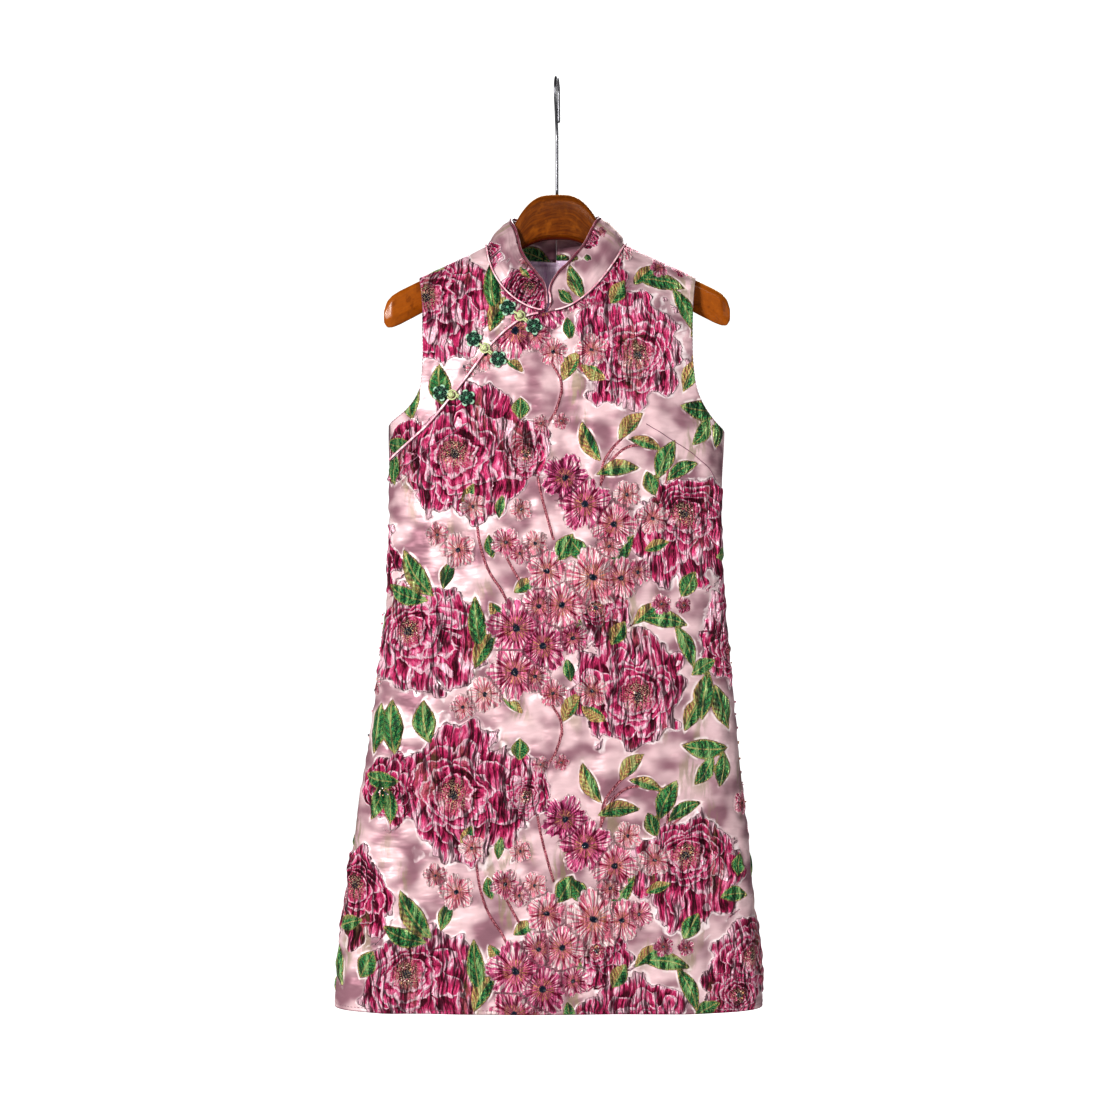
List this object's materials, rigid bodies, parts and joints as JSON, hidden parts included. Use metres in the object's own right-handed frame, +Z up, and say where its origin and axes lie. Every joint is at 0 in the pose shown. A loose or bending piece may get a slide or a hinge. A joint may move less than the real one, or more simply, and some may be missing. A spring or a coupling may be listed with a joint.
{
  "type": "sleeveless cheongsam dress on a wooden hanger",
  "caption": "Sleeveless stand-collar cheongsam dress in floral brocade with a curved side opening and knotted frogs, hanging on a contoured wooden hanger.",
  "frame": {"origin": "inside top of the hanger's hook, where a rail or a peg carries it", "axes": "+Z up along the hook's shank, -Y out of the dress's front, +X towards the wearer's left"},
  "size_m": [0.498, 0.1191, 1.0827],
  "materials": {
    "brocade": "silky jacquard with puffed peonies and leaves",
    "pink_satin": "satin binding and piping",
    "lining": "soft lilac satin lining",
    "green_cord": "coiled satin cord",
    "pale_cord": "satin cord",
    "hanger_wood": "clear varnish",
    "hook_wire": "dark steel wire"
  },
  "bodies": {
    "root": {"front_main": "brocade", "front_shoulder": "brocade", "back_left": "brocade", "back_right": "brocade", "back_lining": "lining", "collar_left": "brocade", "collar_right": "brocade", "collar_binding_left": "pink_satin", "collar_binding_right": "pink_satin", "neck_piping": "pink_satin", "placket_piping": "pink_satin", "frog_1_flower_a": "green_cord", "frog_1_flower_b": "green_cord", "frog_1_knot": "pale_cord", "frog_1_loop": "pale_cord", "frog_2_flower_a": "green_cord", "frog_2_flower_b": "green_cord", "frog_2_knot": "pale_cord", "frog_2_loop": "pale_cord", "frog_3_flower_a": "green_cord", "frog_3_flower_b": "green_cord", "frog_3_knot": "pale_cord", "frog_3_loop": "pale_cord", "hanger_wood": "hanger_wood", "hanger_hook": "hook_wire"}
  },
  "joints": []
}
